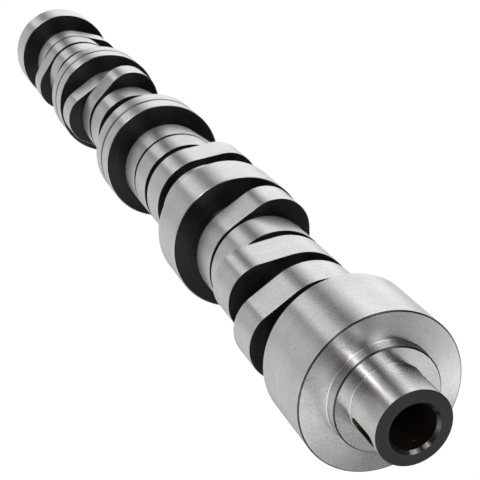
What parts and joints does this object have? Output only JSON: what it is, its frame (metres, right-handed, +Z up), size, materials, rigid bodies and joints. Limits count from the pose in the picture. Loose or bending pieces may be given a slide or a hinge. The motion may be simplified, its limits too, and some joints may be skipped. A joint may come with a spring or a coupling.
{
  "type": "engine camshaft",
  "caption": "One-piece overhead-valve camshaft: a row of bearing journals with offset valve lobes between them, and a keyed nose with a gear shoulder and a threaded bolt hole.",
  "frame": {"origin": "centre of the rear journal's end face, which the shaft stands on", "axes": "+Z up the shaft's axis to the nose; +X from the axis through the middle of the keyway"},
  "size_m": [0.0599, 0.06, 0.5314],
  "materials": {
    "steel": "ground and polished bearing surfaces and lobes, black phosphated sides and core"
  },
  "bodies": {
    "root": {"camshaft": "steel"}
  },
  "joints": []
}
